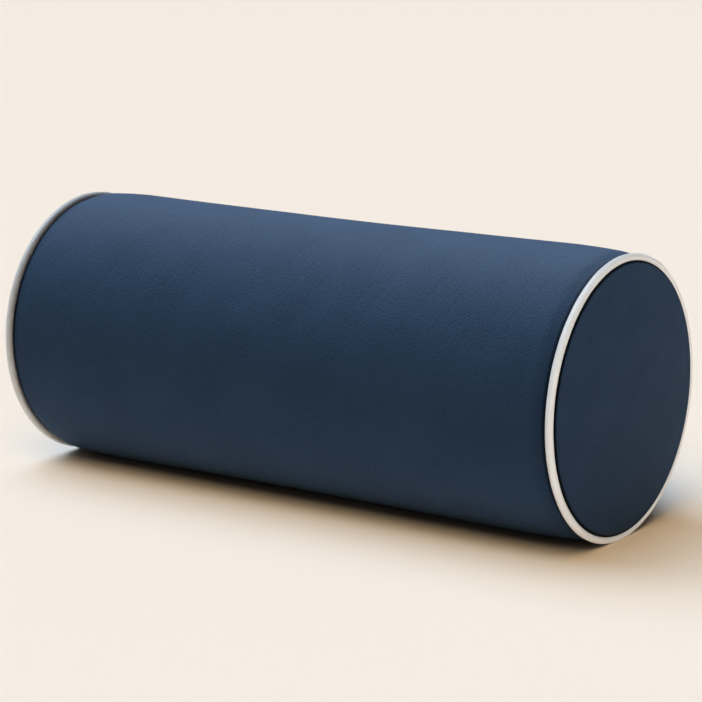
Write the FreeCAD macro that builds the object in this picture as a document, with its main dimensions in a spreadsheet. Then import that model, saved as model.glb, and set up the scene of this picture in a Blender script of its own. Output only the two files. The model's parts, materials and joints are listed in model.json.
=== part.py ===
"""Round bolster pillow: a foam core in a zipped, piped cover.

The bolster lies along X with its middle over the origin, and rests on the plane Z = 0. Revolved pieces
are drawn in the half plane of X and radius and turned about the X axis, then lifted to the axis height.
The pieces of the zip are drawn as if the zip ran along the top, with the way out of the cover as +Z,
and are then turned about the X axis to the back of the bolster.
"""

import FreeCAD, Part
import Sketcher

import math
import os
import re

App = FreeCAD
Vector = App.Vector
X_AXIS, Y_AXIS, Z_AXIS = Vector(1, 0, 0), Vector(0, 1, 0), Vector(0, 0, 1)

SIZES = {
    # the bolster as a whole
    "body_radius": 100.0,
    "axis_height": 99.75,
    "seam_half": 236.0,  # from the middle to the plane of each piped seam
    "cover_wall": 1.0,
    "fit_gap": 0.05,  # between layers that lie on each other
    "overcut": 1.0,  # how far a cutting tool reaches past what it cuts
    # where the cover turns down to the piped seam, measured from the seam plane and from the axis
    "shoulder_run": 11.0,
    "crease_run": 3.4,
    "crease_radius": 96.9,
    "root_radius": 94.3,
    "inner_root_radius": 94.05,  # where the panel's inside turns down to its allowance
    "wadding_root_radius": 92.8,
    "allowance_radius": 86.0,  # inner edge of the seam allowances
    # piping
    "welt_ring": 97.9,
    "welt_radius": 2.75,
    "welt_wall": 1.1,
    "flange_slit": 0.1,
    # end panels and filling
    "end_crown": 4.0,
    "core_radius": 91.0,
    "core_end_gap": 3.0,  # from the seam plane back to the end of the core
    "thread_radius": 0.3,
    "end_thread_ring": 92.5,
    # zip, as lengths along X, across the zip and out from the axis
    "zip_angle": 18.0,  # above the middle of the bolster's back
    "slot_half": 202.0,
    "slot_half_width": 6.5,
    "hem_width": 12.0,
    "lip_end": 226.0,
    "bed_height": 95.2,  # flat that the zip presses into the wadding
    "tape_outer": 97.9,
    "tape_wall": 0.6,
    "tape_edge": 1.4,
    "tape_width": 15.0,
    "tape_half": 212.0,
    "chain_low": 97.95,
    "chain_height": 2.2,
    "chain_half_width": 3.0,
    "tooth_root": 2.2,
    "tooth_cross": 0.4,
    "tooth_pitch": 1.6,
    "tooth_width": 0.65,
    "split_start": 3.0,  # from the slider's tail to where the rows part inside it
    "split_slope": 0.17,
    "stop_length": 3.6,
    "stop_gap": 0.2,
    # slider and pull, about the slider's own middle
    "slider_at": 186.0,
    "slider_half": 6.5,
    "slider_front": 5.5,
    "slider_rear": 4.0,
    "slider_lip": 0.7,
    "slider_lip_low": 98.4,
    "plate_wall": 1.0,
    "top_plate_low": 100.3,
    "bottom_plate_low": 96.0,
    "wedge_half_width": 1.1,
    "wedge_tail": 0.5,
    "crown_half": 3.5,
    "crown_half_width": 1.2,
    "crown_gap": 1.8,
    "crown_bar": 0.9,
    "pull_axis": 102.15,
    "pull_half_wall": 0.7,
    "pull_arm_inner": 1.4,
    "pull_half_width": 2.6,
    "pull_neck": 5.4,
    "pull_flare": 4.0,  # length along which the tab widens
    "arm_overlap": 1.0,  # how far the arms run into the tab
    "pull_tab_half_width": 3.6,
    "pull_length": 25.0,
    # stitches
    "stitch_pitch": 4.0,
    "stitch_length": 3.0,
    "stitch_inset": 2.5,  # from the folded edge of the slot
    "closing_gap": 2.0,  # from the slot's end to the thread of the closed seam
    "tack_gap": 0.5,
    "tack_length": 2.0,
    "tack_half_width": 8.0,
}

doc = App.newDocument("bolster_pillow")
sheet = doc.addObject("Spreadsheet::Sheet", "Sizes")
for row, (alias, size) in enumerate(SIZES.items(), start=1):
    sheet.set(f"A{row}", alias)
    sheet.set(f"B{row}", str(size))
    sheet.setAlias(f"B{row}", alias)
doc.recompute()


def bound(text):
    """The expression with each size's name pointed at the sheet."""
    return re.sub(r"[a-z_]+", lambda m: f"Sizes.{m[0]}" if m[0] in SIZES else m[0], str(text))


def value(text):
    """What an expression of size names comes to, in mm."""
    return float(App.Units.Quantity(sheet.evalExpression(bound(text))).Value)


def bind(thing, **properties):
    """Binds properties of a document object to expressions of size names."""
    for name, text in properties.items():
        thing.setExpression(name.replace("__", "."), bound(text))
    return thing


# Placements


def on_axis(turn=0.0):
    """Lifts a piece to the bolster's axis, turned about Z: 180 for the left end."""
    return App.Placement(Vector(0, 0, value("axis_height")), App.Rotation(Z_AXIS, turn))


def at_zip():
    """Carries a piece drawn with the zip on top round to the back of the bolster."""
    turn = App.Rotation(X_AXIS, value("zip_angle") - 90)
    return App.Placement(Vector(0, 0, value("axis_height")), turn)


# Sketches


def draw(sketch, steps):
    """Draws a closed outline. Each step is (across, up) for a line to that point, or
    (across, up, radius) for an arc to it, which turns right where radius is positive.
    Every point and radius is bound to its expression."""
    places = [Vector(value(s[0]), value(s[1]), 0) for s in steps]
    ends = []
    for n, step in enumerate(steps):
        start, end = places[n - 1], places[n]
        if len(step) == 2:
            curve = Part.LineSegment(start, end)
        else:
            curve = arc_between(start, end, value(step[2]), len(step) == 4)
        index = sketch.addGeometry(curve, False)
        forward = sketch.getPoint(index, 1).distanceToPoint(start) < 1e-6
        ends.append((index, 1, 2) if forward else (index, 2, 1))
    for n, (index, first, last) in enumerate(ends):
        before, _, before_last = ends[n - 1]
        sketch.addConstraint(Sketcher.Constraint("Coincident", before, before_last, index, first))
    for n, ((index, _, last), step) in enumerate(zip(ends, steps)):
        for kind, text in (("DistanceX", step[0]), ("DistanceY", step[1])):
            constraint = Sketcher.Constraint(kind, -1, 1, index, last, value(text))
            at = sketch.addConstraint(constraint)
            sketch.setExpression(f"Constraints[{at}]", bound(text))
        if len(step) > 2:
            radius = abs(value(step[2]))
            chord = places[n] - places[n - 1]
            if chord.Length > radius * 1.999:  # half a circle: its middle is level with its ends
                kind, text = ("DistanceX", step[0]) if abs(chord.x) < 1e-6 else ("DistanceY", step[1])
                constraint = Sketcher.Constraint(kind, -1, 1, index, 3, value(text))
            else:
                text = f"abs({step[2]})"
                constraint = Sketcher.Constraint("Radius", index, radius)
            at = sketch.addConstraint(constraint)
            sketch.setExpression(f"Constraints[{at}]", bound(text))


def arc_between(start, end, radius, is_large):
    """The arc from start to end, clockwise where radius is positive."""
    chord = end - start
    half = chord.Length / 2
    height = math.sqrt(max(radius * radius - half * half, 0.0))
    side = Vector(chord.y, -chord.x, 0).normalize()  # to the right of the way along the chord
    if radius < 0:
        side = side * -1
    centre = (start + end) * 0.5 + side * (-height if is_large else height)
    bulge = side * -1
    middle = centre + bulge * abs(radius)
    return Part.Arc(start, middle, end)


def sketch_in(body, name, plane, steps, height=None):
    """A sketch of one outline on a plane of the body's own origin, raised by height."""
    sketch = body.newObject("Sketcher::SketchObject", name)
    origin = next(f for f in body.Origin.OriginFeatures if f.Role == plane)
    sketch.AttachmentSupport = [(origin, "")]
    sketch.MapMode = "FlatFace"
    if height is not None:
        bind(sketch, AttachmentOffset__Base__z=height)
    draw(sketch, steps)
    return sketch


def new_body(label):
    body = doc.addObject("PartDesign::Body", label)
    body.Label = label
    return body


def revolved(label, steps, placement):
    """A body turned about X from one outline of (x, radius) steps."""
    body = new_body(label)
    sketch = sketch_in(body, f"{label}_outline", "XZ_Plane", steps)
    turned = body.newObject("PartDesign::Revolution", f"{label}_turned")
    turned.Profile = sketch
    turned.ReferenceAxis = (sketch, ["H_Axis"])
    turned.Angle = 360
    sketch.Visibility = False
    body.Placement = placement
    return body


def padded(body, name, steps, low, height):
    """Adds to the body an upright pad of an outline, from low upwards."""
    sketch = sketch_in(body, f"{name}_outline", "XY_Plane", steps, low)
    pad = body.newObject("PartDesign::Pad", name)
    pad.Profile = sketch
    bind(pad, Length=height)
    return pad


def padded_across(body, name, steps, width):
    """Adds to the body a pad across the zip, centred on it, of an outline of (x, height) steps."""
    sketch = sketch_in(body, f"{name}_outline", "XZ_Plane", steps)
    pad = body.newObject("PartDesign::Pad", name)
    pad.Profile = sketch
    pad.Midplane = True
    bind(pad, Length=width)
    return pad


# Primitives and booleans


def box(name, x, y, z, placement):
    """A box from low to high along each axis, all given as expressions."""
    made = doc.addObject("Part::Box", name)
    for side, (low, high) in zip(("Length", "Width", "Height"), (x, y, z)):
        bind(made, **{side: f"({high}) - ({low})"})
    corner = Vector(value(x[0]), value(y[0]), value(z[0]))
    made.Placement = placement.multiply(App.Placement(corner, App.Rotation()))
    return made


def rod(name, radius, low, high, placement, across=0.0, out=0.0):
    """A cylinder along X, from low to high."""
    made = doc.addObject("Part::Cylinder", name)
    bind(made, Radius=radius, Height=f"({high}) - ({low})")
    turn = App.Rotation(Y_AXIS, 90)
    start = Vector(value(low), value(across), value(out))
    made.Placement = placement.multiply(App.Placement(start, turn))
    return made


def cut(name, base, tool):
    made = doc.addObject("Part::Cut", name)
    made.Base, made.Tool = base, tool
    return made


def fuse(name, *shapes):
    made = doc.addObject("Part::MultiFuse", name)
    made.Shapes = list(shapes)
    return made


def strip(name, inner, outer, y, x):
    """A curved strip that follows the cover: the part of a tube over the top, y across, x along."""
    tube = cut(
        f"{name}_tube",
        rod(f"{name}_outer", outer, x[0], x[1], at_zip()),
        rod(f"{name}_inner", inner, f"({x[0]}) - overcut", f"({x[1]}) + overcut", at_zip()),
    )
    made = doc.addObject("Part::Common", name)
    made.Base = tube
    made.Tool = box(f"{name}_bounds", x, y, ("0", f"({outer}) + overcut"), at_zip())
    return made


def on_floor(name, shape):
    """The shape as it lies, pressed flat along the plane Z = 0."""
    reach = ("-seam_half * 2", "seam_half * 2")
    floor = box(f"{name}_floor", reach, reach, ("-body_radius", "0"), App.Placement())
    return cut(name, shape, floor)


def labelled(shape, label):
    """Gives the shape its label, and returns its name in the document."""
    shape.Label = label
    return shape.Name


# Seam section, shared by the cover, the wadding and the end panels


ALLOWANCE_IN = "welt_wall + fit_gap"  # face of each allowance that lies on the piping's flange
ALLOWANCE_OUT = f"{ALLOWANCE_IN} + cover_wall"
SHOULDER_DROP = "(body_radius - crease_radius)"
SHOULDER_LENGTH = "(shoulder_run - crease_run)"
SHOULDER = f"(({SHOULDER_LENGTH} ^ 2 + {SHOULDER_DROP} ^ 2) / (2 * {SHOULDER_DROP}))"
SHOULDER_SIN = f"({SHOULDER_LENGTH} / {SHOULDER})"
SHOULDER_COS = f"(1 - {SHOULDER_DROP} / {SHOULDER})"
FOLD_RADIUS = "(cover_wall + fit_gap * 2)"


def shoulder_point(inset):
    """(distance from the seam plane, radius) of the crease, on the shoulder moved in by inset."""
    along = f"crease_run + ({inset}) * {SHOULDER_SIN}"
    out = f"crease_radius - ({inset}) * {SHOULDER_COS}"
    return along, out


def mirrored(steps):
    """The steps of the right end, each given by distance from its seam plane, as both ends of a tube:
    first the right end as it is, then the left end in the other order."""
    right = [(f"seam_half - ({s[0]})", *s[1:]) for s in steps]
    left = [[f"({s[0]}) - seam_half", s[1]] for s in reversed(steps)]
    for place, step in zip(range(1, len(left)), reversed(steps)):
        left[place] += list(step[2:])
    return right + [tuple(s) for s in left]


def build_body_panel():
    """The wraparound panel: a tube with turned-in shoulders, slit along the back and opened for the
    zip, with its two long edges turned under."""
    inner_along, inner_out = shoulder_point("cover_wall")
    outside = mirrored(
        [
            ("shoulder_run", "body_radius"),
            ("crease_run", "crease_radius", SHOULDER),
            (ALLOWANCE_IN, "root_radius + fit_gap * 3"),
            (ALLOWANCE_IN, "allowance_radius"),
        ]
    )
    inside = mirrored(
        [
            ("shoulder_run", "body_radius - cover_wall"),
            (inner_along, inner_out, f"{SHOULDER} - cover_wall"),
            (ALLOWANCE_OUT, "inner_root_radius"),
            (ALLOWANCE_OUT, "allowance_radius"),
        ]
    )
    half = len(outside) // 2
    right_out, left_out = outside[:half], outside[half:]
    right_in, left_in = inside[:half], inside[half:]
    back_in = reverse_arcs(right_in)
    steps = left_out + right_out + back_in + reverse_arcs(left_in)
    shell = revolved("panel_shell", steps, on_axis())
    pieces = [shell]
    hem_inner, hem_outer = "body_radius - cover_wall * 2", "body_radius - cover_wall"
    far = "slot_half_width + hem_width"
    ends = {"right": ("slot_half", "lip_end"), "left": ("-lip_end", "-slot_half")}
    for name, sign in (("upper", 1), ("lower", -1)):
        across = sorted((f"{sign} * slot_half_width", f"{sign} * ({far})"), key=value)
        along = ("-slot_half", "slot_half")
        pieces.append(strip(f"hem_{name}", hem_inner, hem_outer, across, along))
        across = sorted((f"{sign} * flange_slit", f"{sign} * hem_width"), key=value)
        for end, along in ends.items():
            pieces.append(strip(f"closing_{name}_{end}", hem_inner, hem_outer, across, along))
    whole = fuse("panel_with_hems", *pieces)
    through = ("body_radius * 0.5", "body_radius + overcut")
    width = ("-slot_half_width", "slot_half_width")
    slot = box("zip_slot", ("-slot_half", "slot_half"), width, through, at_zip())
    slit_width = ("-flange_slit", "flange_slit")
    length = ("-seam_half - overcut", "seam_half + overcut")
    slit = box("panel_slit", length, slit_width, through, at_zip())
    opened = cut("panel_opened", whole, fuse("panel_openings", slot, slit))
    return labelled(on_floor("panel_on_floor", opened), "body_panel")


def reverse_arcs(steps):
    """The same outline walked the other way: each arc moves to the step that now ends it."""
    back = [list(s[:2]) for s in reversed(steps)]
    for n, step in enumerate(steps):
        if len(step) > 2 and n:
            back[len(steps) - n] += [f"-({step[2]})", *step[3:]]
    return [tuple(s) for s in back]


def at_end(steps):
    """Steps given outward from the right seam plane."""
    return [(f"seam_half + ({s[0]})", *s[1:]) for s in steps]


def crown(edge_radius):
    """Radius of the dome that rises by end_crown from the edge to the middle."""
    return f"((({edge_radius}) ^ 2 + end_crown ^ 2) / (2 * end_crown))"


def build_end_panel(side, turn):
    """A round panel, domed outwards, with its edge turned back behind it into the seam."""
    face_in = f"{ALLOWANCE_OUT} + fit_gap * 4"
    face_out = f"{face_in} + cover_wall"
    steps = at_end(
        [
            (ALLOWANCE_IN, "allowance_radius"),
            (ALLOWANCE_IN, "root_radius"),
            (face_out, "root_radius", FOLD_RADIUS),
            (f"{face_out} + end_crown", "0", crown("root_radius")),
            (f"{face_in} + end_crown", "0"),
            (face_in, "root_radius", f"-({crown('root_radius')})"),
            (ALLOWANCE_OUT, "root_radius", "-fit_gap * 2"),
            (ALLOWANCE_OUT, "allowance_radius"),
        ]
    )
    return revolved(f"end_panel_{side}", steps, on_axis(turn)).Name


def build_piping(side, turn):
    """The welt strip, folded round its cord with both edges in the seam, and the cord."""
    foot = "welt_ring - sqrt(welt_radius ^ 2 - welt_wall ^ 2)"
    bore = "(welt_radius - welt_wall)"
    mouth = f"welt_ring - sqrt({bore} ^ 2 - flange_slit ^ 2)"
    steps = at_end(
        [
            ("-welt_wall", "allowance_radius"),
            ("-welt_wall", foot),
            ("welt_wall", foot, "welt_radius", "large"),
            ("welt_wall", "allowance_radius"),
            ("flange_slit", "allowance_radius"),
            ("flange_slit", mouth),
            ("-flange_slit", mouth, f"-{bore}", "large"),
            ("-flange_slit", "allowance_radius"),
        ]
    )
    folded = revolved(f"welt_fold_{side}", steps, on_axis(turn))
    strip_name = labelled(on_floor(f"welt_on_floor_{side}", folded), f"welt_strip_{side}")
    cord = doc.addObject("Part::Torus", f"welt_cord_{side}")
    bind(cord, Radius1="welt_ring", Radius2=f"{bore} - fit_gap")
    place = App.Placement(Vector(value("seam_half"), 0, 0), App.Rotation(Y_AXIS, 90))
    cord.Placement = on_axis(turn).multiply(place)
    return strip_name, cord.Name


def build_end_thread(side, turn):
    """The line of lock stitches that closes the piped seam, just under the cord."""
    thread = doc.addObject("Part::Torus", f"end_seam_thread_{side}")
    bind(thread, Radius1="end_thread_ring", Radius2="thread_radius")
    inward = value(f"seam_half - ({ALLOWANCE_OUT} + fit_gap + thread_radius)")
    place = App.Placement(Vector(inward, 0, 0), App.Rotation(Y_AXIS, 90))
    thread.Placement = on_axis(turn).multiply(place)
    return thread.Name


def build_filling():
    """The foam core, the wadding round it and the wadding pad at each end."""
    core_half = "seam_half - core_end_gap"
    core = rod("foam_core", "core_radius", f"-({core_half})", core_half, on_axis())
    inset = "cover_wall + fit_gap * 2"
    along, out = shoulder_point(inset)
    outside = mirrored(
        [
            ("shoulder_run", f"body_radius - ({inset})"),
            (along, out, f"{SHOULDER} - ({inset})"),
            ("core_end_gap", "wadding_root_radius"),
            ("core_end_gap", "core_radius + fit_gap"),
        ]
    )
    half = len(outside) // 2
    wrap = revolved("wadding_round", outside[half:] + outside[:half], on_axis())
    span = ("-lip_end - overcut", "lip_end + overcut")
    out_from_bed = ("bed_height", "body_radius + overcut")
    side = ("-body_radius", "body_radius")
    bed = box("zip_bed", span, side, out_from_bed, at_zip())
    made = [core.Name, labelled(cut("wadding_bedded", wrap, bed), "wadding_wrap")]
    face = f"{ALLOWANCE_OUT} + fit_gap * 2"
    edge = "allowance_radius - fit_gap * 4"
    for name, turn in SIDES:
        steps = at_end(
            [
                ("-core_end_gap + fit_gap", "0"),
                ("-core_end_gap + fit_gap", edge),
                (face, edge),
                (f"{face} + end_crown", "0", crown(edge)),
            ]
        )
        made.append(revolved(f"wadding_end_{name}", steps, on_axis(turn)).Name)
    return made


def build_tapes():
    """The two woven tapes of the zip, under the turned edges of the panel."""
    made = []
    for name, sign in (("upper", 1), ("lower", -1)):
        far = "tape_edge + tape_width"
        across = sorted((f"{sign} * tape_edge", f"{sign} * ({far})"), key=value)
        along = ("-tape_half", "tape_half")
        tape = strip(f"zip_tape_{name}", "tape_outer - tape_wall", "tape_outer", across, along)
        made.append(tape.Name)
    return made


def build_chain(name, sign, phase):
    """One row of the zip's teeth on its spine. The rows mesh up to the slider and part inside it."""
    pitch, width = value("tooth_pitch"), value("tooth_width")
    root, tip, back = value("tooth_root"), value("-tooth_cross"), value("chain_half_width")
    split = value("slider_at - slider_half + split_start")
    parted = value("slider_at + slider_half")
    slope = value("split_slope")
    first = value("-slot_half + stop_length + stop_gap * 2 + tooth_pitch")
    last = value("slider_at + slider_half + stop_gap * 3 + tooth_pitch")

    def shift(x):
        return slope * (min(max(x, split), parted) - split)

    def point(x, y):
        return Vector(x, sign * (y + shift(x)), value("chain_low"))

    edge = [point(first - pitch, root)]
    count = int((last - first - phase * pitch) / pitch)
    for n in range(count + 1):
        middle = first + (n + phase) * pitch
        low, high = middle - width / 2, middle + width / 2
        edge += [point(low, root), point(low, tip), point(high, tip), point(high, root)]
    edge.append(point(last + pitch / 2, root))
    spine = [point(x, back) for x in (last + pitch / 2, parted, split, first - pitch)]
    outline = Part.makePolygon(edge + spine + edge[:1])
    row = doc.addObject("Part::Feature", f"zip_chain_{name}")
    row.Shape = Part.Face(outline).extrude(Z_AXIS * value("chain_height"))
    row.Placement = at_zip()
    return row.Name


def build_stops():
    """The stop past each row at the closed end, and the one across both rows at the other."""
    height = ("chain_low", "top_plate_low")
    low = "slider_at + slider_half + stop_gap * 3 + tooth_pitch * 1.5 + stop_gap"
    along = (low, f"{low} + stop_length")
    shift = "split_slope * (2 * slider_half - split_start)"
    tops = []
    for name, sign in (("upper", 1), ("lower", -1)):
        near, far = f"{shift} - tooth_cross", f"chain_half_width + {shift}"
        across = sorted((f"{sign} * ({near})", f"{sign} * ({far})"), key=value)
        tops.append(box(f"top_stop_{name}", along, across, height, at_zip()))
    pair = doc.addObject("Part::Compound", "zip_top_stops")
    pair.Links = tops
    along = ("-slot_half + stop_gap", "-slot_half + stop_gap + stop_length")
    across = ("-chain_half_width", "chain_half_width")
    bottom = box("zip_bottom_stop", along, across, height, at_zip())
    return [pair.Name, bottom.Name]


def tapered(front, rear, low, high):
    """Plan of a plate that is wider at the slider's mouth, symmetric about the zip."""
    return [(low, f"-({rear})"), (low, rear), (high, front), (high, f"-({front})")]


def build_slider():
    """The slider: two plates joined by a wedge, lips that guide the rows, and the crown for the pull."""
    body = new_body("zip_slider")
    low, high = "slider_at - slider_half", "slider_at + slider_half"
    plate = tapered("slider_front", "slider_rear", low, high)
    padded(body, "bottom_plate", plate, "bottom_plate_low", "plate_wall")
    post = [
        (high, "-wedge_half_width"),
        ("slider_at - wedge_tail", "0"),
        (high, "wedge_half_width"),
    ]
    post_low = "bottom_plate_low + plate_wall * 0.5"
    padded(body, "wedge", post, post_low, "top_plate_low - bottom_plate_low")
    padded(body, "top_plate", plate, "top_plate_low", "plate_wall")
    lip_height = "top_plate_low - slider_lip_low + plate_wall * 0.5"
    for name, sign in (("upper", ""), ("lower", "-")):
        lip = [
            (low, f"{sign}slider_rear"),
            (high, f"{sign}slider_front"),
            (high, f"{sign}(slider_front - slider_lip)"),
            (low, f"{sign}(slider_rear - slider_lip)"),
        ]
        padded(body, f"lip_{name}", lip, "slider_lip_low", lip_height)
    foot = "top_plate_low + plate_wall * 0.5"
    floor = "top_plate_low + plate_wall"
    rise = f"{floor} + crown_gap"
    left, right = "slider_at - crown_half", "slider_at + crown_half"
    arch = [
        (left, foot),
        (left, rise),
        (f"{left} + crown_bar", f"{rise} + crown_bar"),
        (f"{right} - crown_bar", f"{rise} + crown_bar"),
        (right, rise),
        (right, foot),
        (f"{right} - crown_bar", foot),
        (f"{right} - crown_bar", rise),
        (f"{left} + crown_bar", rise),
        (f"{left} + crown_bar", foot),
    ]
    padded_across(body, "crown", arch, "crown_half_width * 2")
    body.Placement = at_zip()
    return body.Name


def build_pull():
    """The pull: a bar under the slider's crown, two arms past it and the tab, lying back on the zip."""
    body = new_body("zip_pull")
    add_pull_bar(body)
    wall = "pull_half_wall * 2"
    low = "pull_axis - pull_half_wall"
    neck = "slider_at - pull_neck"
    for name, sign in (("upper", ""), ("lower", "-")):
        arm = [
            (f"{neck} - arm_overlap", f"{sign}pull_arm_inner"),
            (f"{neck} - arm_overlap", f"{sign}pull_half_width"),
            ("slider_at", f"{sign}pull_half_width"),
            ("slider_at", f"{sign}pull_arm_inner"),
        ]
        padded(body, f"arm_{name}", arm, low, wall)
    end = "slider_at - pull_length"
    tab = [
        (neck, "-pull_half_width"),
        (neck, "pull_half_width"),
        (f"{neck} - pull_flare", "pull_tab_half_width"),
        (f"{end} + pull_tab_half_width", "pull_tab_half_width"),
        (f"{end} + pull_tab_half_width", "-pull_tab_half_width", "-pull_tab_half_width"),
        (f"{neck} - pull_flare", "-pull_tab_half_width"),
    ]
    padded(body, "tab", tab, low, wall)
    body.Placement = at_zip()
    return body.Name


def add_pull_bar(body):
    """The round bar that the pull turns on, across the zip."""
    reach = "pull_half_wall"
    ring = [(f"slider_at + {reach}", "pull_axis", reach), (f"slider_at - {reach}", "pull_axis", reach)]
    padded_across(body, "bar", ring, "pull_half_width * 2")


def stitch_line(name, across, low, high):
    """A row of stitches along X on the cover, each a short round-ended length of thread."""
    radius, length = value("thread_radius"), value("stitch_length")
    out = math.sqrt(value("body_radius + thread_radius + fit_gap") ** 2 - across**2)
    pitch = value("stitch_pitch")
    count = int((high - low) / pitch)
    start = (low + high - count * pitch) / 2
    stitches = []
    for n in range(count):
        begin = Vector(start + n * pitch + (pitch - length) / 2, across, out)
        thread = Part.makeCylinder(radius, length, begin, X_AXIS)
        stitches.append(thread)
    row = doc.addObject("Part::Feature", name)
    row.Shape = Part.makeCompound(stitches)
    row.Placement = at_zip()
    return row.Name


def build_stitching():
    """The rows that hold the hems to the tapes, the closing seams past the zip, and the bar tacks."""
    half = value("slot_half")
    inset = value("slot_half_width + stitch_inset")
    made = [
        stitch_line("zip_stitching_upper", inset, -half, half),
        stitch_line("zip_stitching_lower", -inset, -half, half),
    ]
    out = "body_radius - cover_wall * 2 - fit_gap - thread_radius"
    spans = (("slot_half + closing_gap", "lip_end"), ("-lip_end", "-slot_half - closing_gap"))
    threads = [
        rod(f"closing_thread_{n}", "thread_radius", low, high, at_zip(), out=out)
        for n, (low, high) in enumerate(spans)
    ]
    pair = doc.addObject("Part::Compound", "closing_seam_threads")
    pair.Links = threads
    made.append(pair.Name)
    width = ("-tack_half_width", "tack_half_width")
    tacks = []
    for n, low in enumerate(("slot_half + tack_gap", "-slot_half - tack_gap - tack_length")):
        along = (low, f"{low} + tack_length")
        surface = "body_radius + fit_gap"
        tack = strip(f"tack_{n}", surface, f"{surface} + thread_radius", width, along)
        tacks.append(tack)
    pair = doc.addObject("Part::Compound", "zip_bar_tacks")
    pair.Links = tacks
    made.append(pair.Name)
    return made


SIDES = (("right", 0.0), ("left", 180.0))


def build():
    """Makes every piece and returns the names of the document's finished objects."""
    names = [build_body_panel()]
    for side, turn in SIDES:
        names.append(build_end_panel(side, turn))
        names += build_piping(side, turn)
        names.append(build_end_thread(side, turn))
    names += build_filling()
    names += build_tapes()
    names.append(build_chain("upper", 1, 0.0))
    names.append(build_chain("lower", -1, 0.5))
    names += build_stops()
    names.append(build_slider())
    names.append(build_pull())
    names += build_stitching()
    return names


def check(pieces):
    """Stops if any object failed, or a piece isn't a valid closed solid."""
    for thing in doc.Objects:
        if {"Invalid", "Error"} & set(thing.State):
            raise RuntimeError(f"{thing.Name} failed: {thing.State}")
    for piece in pieces:
        shape = piece.Shape
        if shape.isNull() or not shape.isValid() or not shape.Solids:
            raise RuntimeError(f"{piece.Label} is not a valid solid")
        if any(solid.Volume <= 0 for solid in shape.Solids):
            raise RuntimeError(f"{piece.Label} has a solid turned inside out")


def export(pieces):
    os.makedirs("parts", exist_ok=True)
    for piece in pieces:
        piece.Shape.exportStep(f"parts/{piece.Label}.step")
        size = piece.Shape.BoundBox
        print(
            f"{piece.Label:24s} {len(piece.Shape.Solids):4d} solids"
            f" {piece.Shape.Volume / 1000:9.2f} cm3"
            f" {size.XLength:7.1f} {size.YLength:7.1f} {size.ZLength:7.1f}"
        )


made_names = build()
doc.recompute()
made_pieces = [doc.getObject(name) for name in made_names]
check(made_pieces)
export(made_pieces)
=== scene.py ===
"""Round bolster pillow: the looks of its cover, piping, filling and zip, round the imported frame.

The bolster lies along X. Points of the cover are worked out in zip coordinates: along the bolster,
round it from the zip's middle, and out from its axis.
"""

import json
import math

import bmesh
import bpy
import numpy as np
from bpy.props import FloatProperty, FloatVectorProperty, PointerProperty
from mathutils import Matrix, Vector


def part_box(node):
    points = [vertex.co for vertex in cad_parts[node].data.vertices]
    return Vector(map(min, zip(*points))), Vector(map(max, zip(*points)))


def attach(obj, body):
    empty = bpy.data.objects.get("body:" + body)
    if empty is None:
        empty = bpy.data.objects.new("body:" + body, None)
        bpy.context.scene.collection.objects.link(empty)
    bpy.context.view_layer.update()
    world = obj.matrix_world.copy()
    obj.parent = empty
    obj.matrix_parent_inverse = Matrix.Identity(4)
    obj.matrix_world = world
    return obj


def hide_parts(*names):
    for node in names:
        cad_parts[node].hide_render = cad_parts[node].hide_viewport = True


bl_info = {
    "name": "Bolster pillow",
    "version": (1, 0, 0),
    "blender": (4, 5, 0),
    "location": "View3D > Sidebar > Bolster",
    "description": "Builds a round bolster pillow with piped ends and a zip",
    "category": "Add Mesh",
}

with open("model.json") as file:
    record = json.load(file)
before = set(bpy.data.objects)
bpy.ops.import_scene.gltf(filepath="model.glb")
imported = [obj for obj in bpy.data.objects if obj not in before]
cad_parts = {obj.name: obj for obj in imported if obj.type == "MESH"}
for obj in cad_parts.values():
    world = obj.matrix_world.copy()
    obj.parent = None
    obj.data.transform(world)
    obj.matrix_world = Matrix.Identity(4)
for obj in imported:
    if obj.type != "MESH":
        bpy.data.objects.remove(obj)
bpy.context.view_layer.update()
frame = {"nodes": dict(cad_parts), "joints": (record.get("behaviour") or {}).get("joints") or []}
MM = 0.001
SIDES = {"right": 1, "left": -1}


# Where things are in the frame


def frame_sizes():
    """The bolster's main sizes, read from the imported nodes."""
    cord_low, cord_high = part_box("welt_cord_right")
    strip_low, strip_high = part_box("welt_strip_right")
    panel_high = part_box("body_panel")[1]
    axis = (cord_low.z + cord_high.z) / 2
    tube = (strip_high.x - strip_low.x) / 2
    return {
        "axis_height": axis,
        "body_radius": panel_high.z - axis,
        "seam_half": (cord_low.x + cord_high.x) / 2,
        "welt_tube": tube,
        "welt_ring": strip_high.z - axis - tube,
    }


FRAME = frame_sizes()
PULL_HINGE = next(joint for joint in frame["joints"] if joint["name"] == "pull_hinge")
PULL_PIVOT = Vector(PULL_HINGE["pos_m"])
ZIP_ANGLE = math.atan2(PULL_PIVOT.z - FRAME["axis_height"], PULL_PIVOT.y)
ZIP_OUT = Vector((0, math.cos(ZIP_ANGLE), math.sin(ZIP_ANGLE)))
ZIP_ACROSS = Vector((0, -math.sin(ZIP_ANGLE), math.cos(ZIP_ANGLE)))
SLIDER_LOW, SLIDER_HIGH = (corner.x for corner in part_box("zip_slider"))
CHAIN_LOW, CHAIN_HIGH = (corner.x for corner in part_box("zip_chain_upper"))


def around(x, arc, out):
    """Points of the cover: x along it, arc round it from the zip's middle, out from its axis."""
    x, arc, out = np.broadcast_arrays(x, arc, out)
    angle = arc / FRAME["body_radius"]
    across = out * np.sin(angle)
    up = out * np.cos(angle)
    y = across * ZIP_ACROSS.y + up * ZIP_OUT.y
    z = across * ZIP_ACROSS.z + up * ZIP_OUT.z + FRAME["axis_height"]
    return np.stack([x, y, z], axis=-1)


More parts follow.
